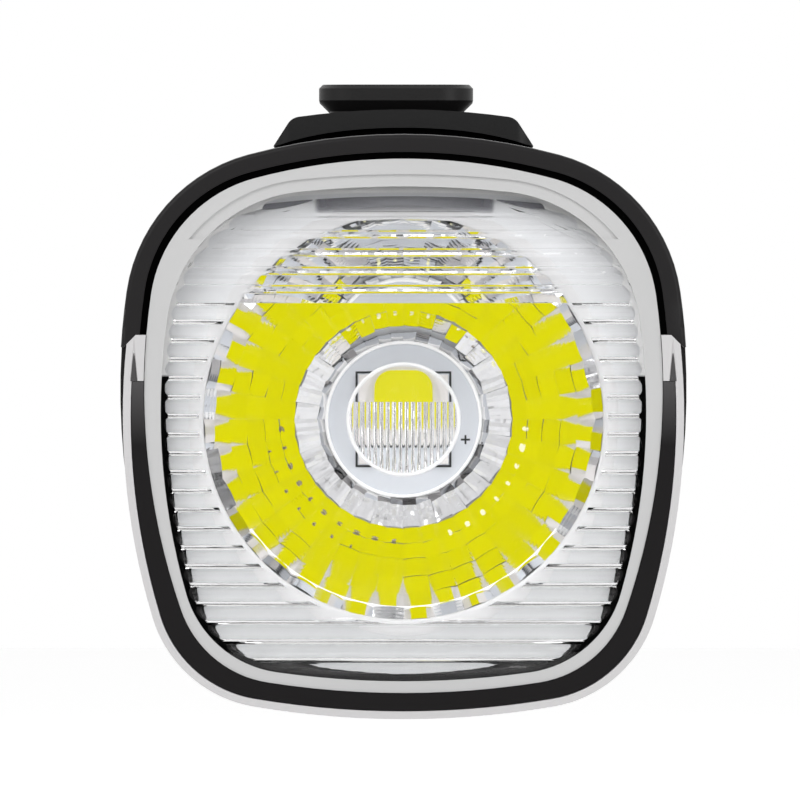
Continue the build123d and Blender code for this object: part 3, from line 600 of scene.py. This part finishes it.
def bent_rod(centre, radius, thickness, start, sweep):
    """A thin round rod bent along an arc that faces the front; angles run clockwise from the top."""
    deselect()
    bpy.ops.mesh.primitive_circle_add(
        vertices=14, radius=thickness * mm, fill_type="NGON",
        location=centre + Vector((math.sin(start), 0, math.cos(start))) * radius * mm,
        rotation=(0, start - math.pi / 2, 0),
    )
    rod = bpy.context.object
    bpy.ops.object.transform_apply(location=True, rotation=True, scale=True)
    bpy.ops.object.mode_set(mode="EDIT")
    bpy.ops.mesh.select_all(action="SELECT")
    bpy.ops.mesh.spin(steps=60, angle=-sweep, center=centre, axis=(0, 1, 0))
    bpy.ops.mesh.select_all(action="SELECT")
    bpy.ops.mesh.normals_make_consistent(inside=False)
    bpy.ops.object.mode_set(mode="OBJECT")
    bpy.ops.object.shade_smooth_by_angle(angle=round_angle)
    return rod


# Mirror dish

def dish_depth(radius):
    """How deep the dish is at a radius."""
    return dish_front + (rim_radius**2 - radius**2) / (4 * focal_length)


def split_sheet(rings):
    """A flat sheet cut apart into the facets' squares, left open for editing."""
    piece = grid(facet_sectors * facet_cuts, rings * facet_cuts)
    mesh = piece.data
    for edge in mesh.edges:
        a, b = (mesh.vertices[i].co for i in edge.vertices)
        column, row = (a.x + 0.5) * facet_sectors, (a.y + 0.5) * rings
        upright = abs(a.x - b.x) < 1e-6 and abs(column - round(column)) < 1e-4
        level = abs(a.y - b.y) < 1e-6 and abs(row - round(row)) < 1e-4
        edge.select = upright or level
    for vertex in mesh.vertices:
        vertex.select = False
    bpy.context.view_layer.objects.active = piece
    bpy.ops.object.mode_set(mode="EDIT")
    bpy.ops.mesh.select_mode(type="EDGE")
    bpy.ops.mesh.edge_split(type="EDGE")
    bpy.ops.mesh.select_all(action="SELECT")
    return piece


def facet_tone(dice, sector, ring):
    """Brightness that one facet draws."""
    low = math.cos(2 * math.pi * (sector + 0.5) / facet_sectors) < low_side
    tones = {0: rim_tones, last_ring: low_tones if low else base_tones}
    return dice.choice(tones.get(ring, plain_tones))


def facet_spot(sector, ring, u, v, lean):
    """A point of one facet, from its shares across and down the facet."""
    outer, inner = ring_radii[ring], ring_radii[ring + 1]
    radius = outer + (inner - outer) * v
    half = radius * math.tan(math.pi / facet_sectors)
    across = (2 * u - 1) * half
    sag = (half**2 - across**2) / (2 * facet_curve * lean[2])
    turn = 2 * math.pi * (sector + 0.5) / facet_sectors
    tip = ring_tips.get(ring, 0)
    if ring == fading_ring:
        tip *= min(1.0, max(0.0, (tip_fade_start - math.cos(turn)) / tip_fade_length))
    amount = rim_unevenness if ring == 0 else tipped_unevenness if tip else plain_unevenness
    wobble = amount * (lean[0] * (2 * u - 1) + lean[1] * (2 * v - 1))
    inward = sag + facet_lift + amount + wobble + abs(tip) + tip * (1 - 2 * v)
    reach = radius * math.cos(math.pi / facet_sectors) - inward
    out, side = Vector((math.sin(turn), math.cos(turn))), Vector((math.cos(turn), -math.sin(turn)))
    flat = out * reach + side * across
    return spot(flat.x, dish_depth(radius), flat.y)


def dish_facets():
    """Mirror facets, 40 sectors of 8 rings, each a little rounder than the dish itself."""
    rings = len(ring_radii) - 1
    piece = split_sheet(rings)
    work = bmesh.from_edit_mesh(piece.data)
    shade = work.faces.layers.float.new("tone")
    owner = {}
    for vertex in work.verts:
        middle = vertex.link_faces[0].calc_center_median()
        owner[vertex.index] = (int((middle.x + 0.5) * facet_sectors), int((middle.y + 0.5) * rings))
    dice = random.Random(11)
    lean = {
        (s, r): (dice.uniform(-1, 1), dice.uniform(-1, 1), dice.uniform(*curve_spread))
        for s in range(facet_sectors) for r in range(rings)
    }
    tone = {(s, r): facet_tone(dice, s, r) for s, r in lean}
    for face in work.faces:
        face[shade] = tone[owner[face.verts[0].index]]
    for vertex in work.verts:
        s, r = owner[vertex.index]
        u, v = (vertex.co.x + 0.5) * facet_sectors - s, (vertex.co.y + 0.5) * rings - r
        vertex.co = facet_spot(s, r, u, v, lean[s, r])
    bmesh.update_edit_mesh(piece.data)
    bpy.ops.mesh.normals_make_consistent(inside=True)
    bpy.ops.mesh.faces_shade_smooth()
    bpy.ops.object.mode_set(mode="OBJECT")
    return settle(piece, "dish_facets", dish_mirror)


def corner_dots(name, material, rows, seed):
    """Small angular dots where the corners of the facets meet, in rows round the dish, that paint glints and
    reflections there.
    """
    dice = random.Random(seed)
    dots = None
    deselect()
    for radius, start, count, width, height in rows:
        for step in range(count):
            angle = math.radians(start + corner_step * step)
            wide, high = dice.uniform(*dot_wide_spread), dice.uniform(*dot_high_spread)
            lean = dice.uniform(-dot_lean, dot_lean)
            reach, depth = radius - dot_inset, dish_depth(radius) - dot_rise
            bpy.ops.mesh.primitive_ico_sphere_add(
                subdivisions=1, radius=mm, rotation=(0, angle + lean, 0),
                location=spot(reach * math.sin(angle), depth, reach * math.cos(angle)),
                scale=(width * wide, dot_half_depth, height * high),
            )
            if dots is None:
                dots = bpy.context.object
                apply_place(dots)
                bpy.ops.object.mode_set(mode="EDIT")
    bpy.ops.object.mode_set(mode="OBJECT")
    return settle(dots, name, material)


# Front lens

def rib_place(z, top):
    """Where a point of the upper ribs goes, and its height over the rear of the lens."""
    above = z - cutoff_height
    if above < crystal_height:
        row, share = 0, above / crystal_height
    else:
        row, share = divmod((above - crystal_height) / upper_rib_pitch, 1.0)
        row += 1
    if row >= prism_rows:
        old_start = crystal_height + (prism_rows - 1) * upper_rib_pitch
        new_start = prism_rows * prism_pitch
        stretch = (top - cutoff_height - new_start) / (top - cutoff_height - old_start)
        return cutoff_height + new_start + (above - old_start) * stretch, 0.0
    for (start, place, height), (end, next_place, next_height) in zip(rib_profile, rib_profile[1:]):
        if share <= end:
            part = (share - start) / (end - start)
            place += part * (next_place - place)
            height += part * (next_height - height)
            break
    return cutoff_height + prism_pitch * (row + place), height


def lens():
    """The lens with its upper ribs as prism rows, and a wedge of a boss that lifts the picture behind it."""
    piece = copied("front_lens")
    for face in piece.data.polygons:
        middle = face.center
        above = middle.z / mm + axis_drop > cutoff_height
        face.select = above and middle.y / mm + face_depth > lens_rear + off_face
    bpy.ops.object.mode_set(mode="EDIT")
    bpy.ops.mesh.select_mode(type="FACE")
    bpy.ops.mesh.subdivide(number_cuts=rib_cuts)
    bpy.ops.object.mode_set(mode="OBJECT")
    ribs = {index for face in piece.data.polygons if face.select for index in face.vertices}
    top = max(piece.data.vertices[index].co.z for index in ribs) / mm + axis_drop
    for vertex in piece.data.vertices:
        depth = vertex.co.y / mm + face_depth
        x, z = vertex.co.x / mm, vertex.co.z / mm + axis_drop
        if math.hypot(x, z) < boss_reach:
            if depth > boss_face:
                vertex.co.y -= boss_wedge * z * mm
        elif vertex.index in ribs and z > cutoff_height + 0.001:
            place, height = rib_place(z, top)
            vertex.co.z = (place - axis_drop) * mm
            if depth > lens_rear + off_face:
                vertex.co.y = (lens_rear + rib_base + height - face_depth) * mm
    bpy.ops.object.shade_smooth_by_angle(angle=smooth_angle)
    return settle(piece, "ribbed_lens", lens_clear, ["front_lens"])


def darkness_at(x, z):
    """How dark the film is, x being counted from its middle."""
    if x < block_half_width:
        side = min(1.0, (block_half_width - x) / block_soft_side)
        height = min(1.0, max(block_least, (z - block_low) / block_soft_low))
        return (block_darkness + block_darkness_rise * x * x) * side * height
    width = arc_width * math.sin(math.pi * min(1.0, (x - block_half_width) / arc_length))
    if width <= arc_least:
        return 0.0
    top = film_top - film_sag * x * x
    return arc_darkness * max(0.0, min(1.0, (width - (top - z)) / arc_soft + 0.5))


def top_dark_band():
    """Thin grey film behind the top of the lens that darkens it: a soft block, with a tapering arc of painted
    shade on each side.
    """
    piece = grid(200, 16)
    for vertex in piece.data.vertices:
        x, share = vertex.co.x * film_width, vertex.co.y + 0.5
        top = film_top - film_sag * x * x
        vertex.co = spot(x + film_x, film_depth, film_low + (top - film_low) * share)
    darkness = piece.data.attributes.new("darkness", "FLOAT", "POINT")
    for vertex in piece.data.vertices:
        x, z = abs(vertex.co.x / mm - film_x), vertex.co.z / mm + axis_drop
        darkness.data[vertex.index].value = darkness_at(x, z)
    thick = piece.modifiers.new("thick", "SOLIDIFY")
    thick.thickness = film_thickness * mm
    bpy.ops.object.modifier_apply(modifier="thick")
    bpy.ops.object.shade_smooth_by_angle(angle=smooth_angle)
    return settle(piece, "top_dark_band", darkening_grey)


# Seal, shell and mount

def seal():
    """The seal, a hair behind the lens so that light reaches it, its inner edge marked for the scallops."""
    piece = copied("lens_seal")
    spots = [(v.co.x / mm, v.co.z / mm + axis_drop) for v in piece.data.vertices]
    polar = [(math.atan2(z, x), math.hypot(x, z)) for x, z in spots]
    inward = piece.data.attributes.new("inward", "FLOAT", "POINT")
    for vertex, (turn, reach) in zip(piece.data.vertices, polar):
        inner = any(abs(turn - other) < seal_turn and far - reach > seal_least_width for other, far in polar)
        inward.data[vertex.index].value = 1.0 if inner else 0.0
        if inner:
            shrink = 1 - seal_growth / reach
            x, z = vertex.co.x / mm, vertex.co.z / mm + axis_drop
            vertex.co.x, vertex.co.z = x * shrink * mm, (z * shrink - axis_drop) * mm
        if vertex.co.y / mm + face_depth < lens_rear + seal_front_reach:
            vertex.co.y += seal_back * mm
    return settle(piece, "seal_ring", seal_black, ["lens_seal"])


def grown_frame(growth, front, rear):
    """A copy of the pale ring, larger by a share and flattened between two depths."""
    piece = copied("lens_frame")
    for vertex in piece.data.vertices:
        depth = vertex.co.y / mm + face_depth
        x, z = vertex.co.x / mm, vertex.co.z / mm + axis_drop
        vertex.co = spot(x * growth, front if depth < 2 else rear, z * growth)
    return piece


def shell():
    """The shell with the shadow groove that runs between its upper rim and the pale ring, and a near-black
    sheet in the groove that paints its shade.
    """
    cutter = grown_frame(growth=1.026, front=-0.3, rear=0.9)
    piece = copied("body_shell")
    cut_groove(piece, cutter)
    bpy.ops.object.shade_smooth_by_angle(angle=smooth_angle)
    # A near-black sheet on the groove's floor, painted shade
    settle(grown_frame(growth=1.0255, front=0.6, rear=0.85), "groove_shade_sheet", gap_shade_black)
    return settle(piece, "shell_grooved", shell_black, ["body_shell"])


def mount_seat():
    """Base and pad of the mount, their joint raised a little so that the dark line under it shows, the pad
    darker than its rubber as painted shade in that line.
    """
    centre = Vector((0, 0, (joint_arc_middle - axis_drop) * mm))
    for node, name, material, slot in (
        ("mount_base", "base_arched", mount_black, "mount_black"),
        ("mount_pad", "pad_arched", gap_shade_black, "gasket_black"),
    ):
        piece = copied(node)
        for vertex in piece.data.vertices:
            away = Vector((vertex.co.x, 0, vertex.co.z)) - centre
            if abs(away.length / mm - joint_radius) < joint_reach:
                rise = joint_rise * max(0.0, 1 - abs(vertex.co.x / mm / joint_half_width) ** 4)
                raised = centre + away * ((joint_radius + rise) * mm / away.length)
                vertex.co.x, vertex.co.z = raised.x, raised.z
        bpy.ops.object.shade_smooth_by_angle(angle=smooth_angle)
        settle(piece, name, material, [node])


# Side light guide

def slim_cone(side, radius, depth, flat):
    """A slim flattened cone that stands on the top of the inlay."""
    deselect()
    bpy.ops.mesh.primitive_cone_add(
        vertices=32, radius1=radius * mm, radius2=tip_end_radius * mm, depth=tip_length * mm,
        location=spot(side * tip_x, depth, tip_height),
    )
    cone = bpy.context.object
    cone.scale = (1, flat, 1)
    apply_place(cone)
    return cone


def guide():
    """The side light guide, with a tapering groove and a dark tip running up into each block."""
    cutters = [slim_cone(side, radius=0.3, depth=0.0, flat=1.0) for side in (-1, 1)]
    piece = copied("side_light_guide")
    for cutter in cutters:
        cut_groove(piece, cutter)
    bpy.ops.object.shade_smooth_by_angle(angle=smooth_angle)
    settle(piece, "guide_grooved", guide_pale, ["side_light_guide"])
    for side, name in ((-1, "strip_tip_left"), (1, "strip_tip_right")):
        tip = slim_cone(side, radius=0.23, depth=0.14, flat=0.35)
        round_edges(tip, width=0.02, segments=2)
        settle(tip, name, inlay_black)


# Light source

def dome():
    """The clear dome, a hair above the package so that light reaches what is under it."""
    piece = copied("led_dome")
    for vertex in piece.data.vertices:
        if vertex.co.y / mm + face_depth > board_front - dome_foot:
            vertex.co.y -= dome_lift * mm
    return settle(piece, "dome_lifted", dome_clear, ["led_dome"])


def phosphor():
    """The phosphor layer, its bright yellow painted on as glow, a square with well rounded corners that fills
    the hollow of the dome.
    """
    deselect()
    bpy.ops.mesh.primitive_plane_add(
        size=glow_width * mm, location=spot(0, board_front - glow_foot, 0), rotation=(math.pi / 2, 0, 0)
    )
    layer = bpy.context.object
    apply_place(layer)
    bpy.ops.object.mode_set(mode="EDIT")
    bpy.ops.mesh.select_all(action="SELECT")
    bpy.ops.mesh.bevel(offset=glow_corner * mm, segments=8, affect="VERTICES")
    bpy.ops.mesh.select_all(action="SELECT")
    bpy.ops.mesh.extrude_region_move(TRANSFORM_OT_translate={"value": (0, -glow_thickness * mm, 0)})
    bpy.ops.mesh.select_all(action="SELECT")
    bpy.ops.mesh.normals_make_consistent(inside=False)
    bpy.ops.object.mode_set(mode="OBJECT")
    bpy.ops.object.shade_smooth_by_angle(angle=round_angle)
    return settle(layer, "phosphor_layer", phosphor_yellow, ["led_phosphor"])


# Marks

def power_sign():
    """An open ring and a bar, moulded low on the button's crown."""
    centre = spot(0, sign_depth, sign_height)
    ring = bent_rod(centre, sign_radius, sign_line, sign_gap, 2 * math.pi - 2 * sign_gap)
    settle(ring, "power_ring", sign_grey, body="button")
    deselect()
    bpy.ops.mesh.primitive_cylinder_add(
        vertices=14, radius=sign_line * mm, depth=sign_bar_length * mm,
        location=centre + Vector((0, 0, sign_bar_rise * mm)),
    )
    bar = bpy.context.object
    apply_place(bar)
    round_edges(bar, width=0.1, segments=3)
    settle(bar, "power_bar", sign_grey, body="button")


def board_marks():
    """A fine square round the light source and a small cross beside it."""
    depth = board_front - mark_lift
    deselect()
    bpy.ops.mesh.primitive_plane_add(
        size=square_width * mm, location=spot(0, depth, 0), rotation=(math.pi / 2, 0, 0)
    )
    square = bpy.context.object
    bpy.ops.object.mode_set(mode="EDIT")
    bpy.ops.mesh.select_all(action="SELECT")
    bpy.ops.mesh.inset(thickness=square_line * mm, depth=0)
    bpy.ops.mesh.delete(type="FACE")
    bpy.ops.object.mode_set(mode="OBJECT")
    apply_place(square)
    settle(square, "board_square", print_dark)
    for name, width, height in (
        ("cross_across", cross_length, cross_line), ("cross_up", cross_line, cross_length),
    ):
        deselect()
        bpy.ops.mesh.primitive_plane_add(
            size=mm, location=spot(cross_x, depth, cross_z), rotation=(math.pi / 2, 0, 0)
        )
        bar = bpy.context.object
        bar.scale = (width, height, 1)
        apply_place(bar)
        settle(bar, name, print_dark)


# Stage and light

def stage():
    """Pale floor under the lamp, see-through from beneath, that keeps the lamp's shadow."""
    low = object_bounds()[0].z
    deselect()
    bpy.ops.mesh.primitive_plane_add(size=floor_size, location=(0, 0, low - floor_drop))
    floor = bpy.context.object
    floor.name = "floor"
    material, tree, surface = new_material("floor_white")
    surface.inputs["Base Color"].default_value = (0.9, 0.9, 0.9, 1)
    surface.inputs["Roughness"].default_value = 0.8
    surface.inputs["Emission Color"].default_value = (1, 1, 1, 1)
    path = add_node(tree, "ShaderNodeLightPath")
    glow = add_node(tree, "ShaderNodeMath", {
        0: path.outputs["Is Camera Ray"], 1: 0.5,
    }, operation="MULTIPLY")
    tree.links.new(glow.outputs[0], surface.inputs["Emission Strength"])
    see_through(material, add_node(tree, "ShaderNodeNewGeometry").outputs["Backfacing"])
    floor.data.materials.append(material)
    floor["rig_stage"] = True


def black_card():
    """A black card behind the camera, so that the lens and mirror don't haze over."""
    deselect()
    bpy.ops.mesh.primitive_plane_add(size=card_size, location=card_place, rotation=(math.pi / 2, 0, 0))
    card = bpy.context.object
    card.name = "black_card"
    card.data.materials.append(card_black)
    card.visible_camera = False
    card.visible_diffuse = False
    card.visible_shadow = False
    card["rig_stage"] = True


def lamp(name, size, power, place):
    """A soft rectangular lamp, turned to the middle of the headlight."""
    data = bpy.data.lights.new(name, "AREA")
    data.shape = "RECTANGLE"
    data.size, data.size_y = size
    data.energy = power
    light = bpy.data.objects.new(name, data)
    light.location = place
    light.rotation_euler = (Vector(lamp_aim) - Vector(place)).to_track_quat("-Z", "Y").to_euler()
    scene.collection.objects.link(light)


def world():
    """A world that is plain white to see or mirror, and softer as light."""
    sky = bpy.data.worlds.new("studio")
    sky.use_nodes = True
    scene.world = sky
    tree = sky.node_tree
    soft = tree.nodes["Background"]
    soft.inputs["Color"].default_value = (1, 1, 1, 1)
    soft.inputs["Strength"].default_value = 0.45
    plain = add_node(tree, "ShaderNodeBackground", {"Color": (1, 1, 1, 1), "Strength": 1.0})
    path = add_node(tree, "ShaderNodeLightPath").outputs
    either = add_node(tree, "ShaderNodeMath", {
        0: path["Is Camera Ray"], 1: path["Is Transmission Ray"],
    }, operation="MAXIMUM")
    seen = add_node(tree, "ShaderNodeMath", {
        0: either.outputs[0], 1: path["Is Glossy Ray"],
    }, operation="MAXIMUM")
    mix = add_node(tree, "ShaderNodeMixShader", {
        0: seen.outputs[0], 1: soft.outputs[0], 2: plain.outputs[0],
    })
    tree.links.new(mix.outputs[0], tree.nodes["World Output"].inputs["Surface"])
camera()
dish_facets()
lens()
# The rounded edge of the boss, a glowing ring that paints its highlight
round_ring("boss_rim", rim_glint, radius=4.29, thickness=0.15, depth=lens_rear + 0.5, steps=96)
corner_dots("corner_glints", glint_pale, glint_rows, 5)
corner_dots("corner_reflections", reflection_brown, dark_reflection_rows, 9)
# The pale rounded lip round the mouth of the dish
round_ring("dish_lip", lip_white, radius=16.2, thickness=0.68, depth=dish_front + 0.14, steps=160, flat=0.3)
seal()
shell()
# A glowing white arc low on the dish, a painted reflection of the lens's rim
glint_arc = bent_rod(spot(0, 5.75, 0), radius=14.6, thickness=0.07, start=math.pi - 0.95, sweep=1.9)
settle(glint_arc, "dish_glint_arc", glint_white)
mount_seat()
guide()
phosphor()
dome()
# The rounded inner edge of the dish, right in front of the light board, a glowing white ring that paints its
# highlight
round_ring("base_ring", glint_white, radius=6.02, thickness=0.13, depth=board_front - 0.2, steps=120, sides=12)
power_sign()
top_dark_band()
board_marks()
stage()
black_card()
for name, size, power, place in (
    ("key", (0.5, 0.5), 2.9, (-0.4, -0.7, 0.5)),
    ("fill", (0.5, 0.5), 1.6, (0.5, -0.7, 0.2)),
    ("back", (0.6, 0.3), 1.6, (0.0, 0.6, 0.5)),
):
    lamp(name, size, power, place)
world()
scene.view_settings.view_transform = "Standard"
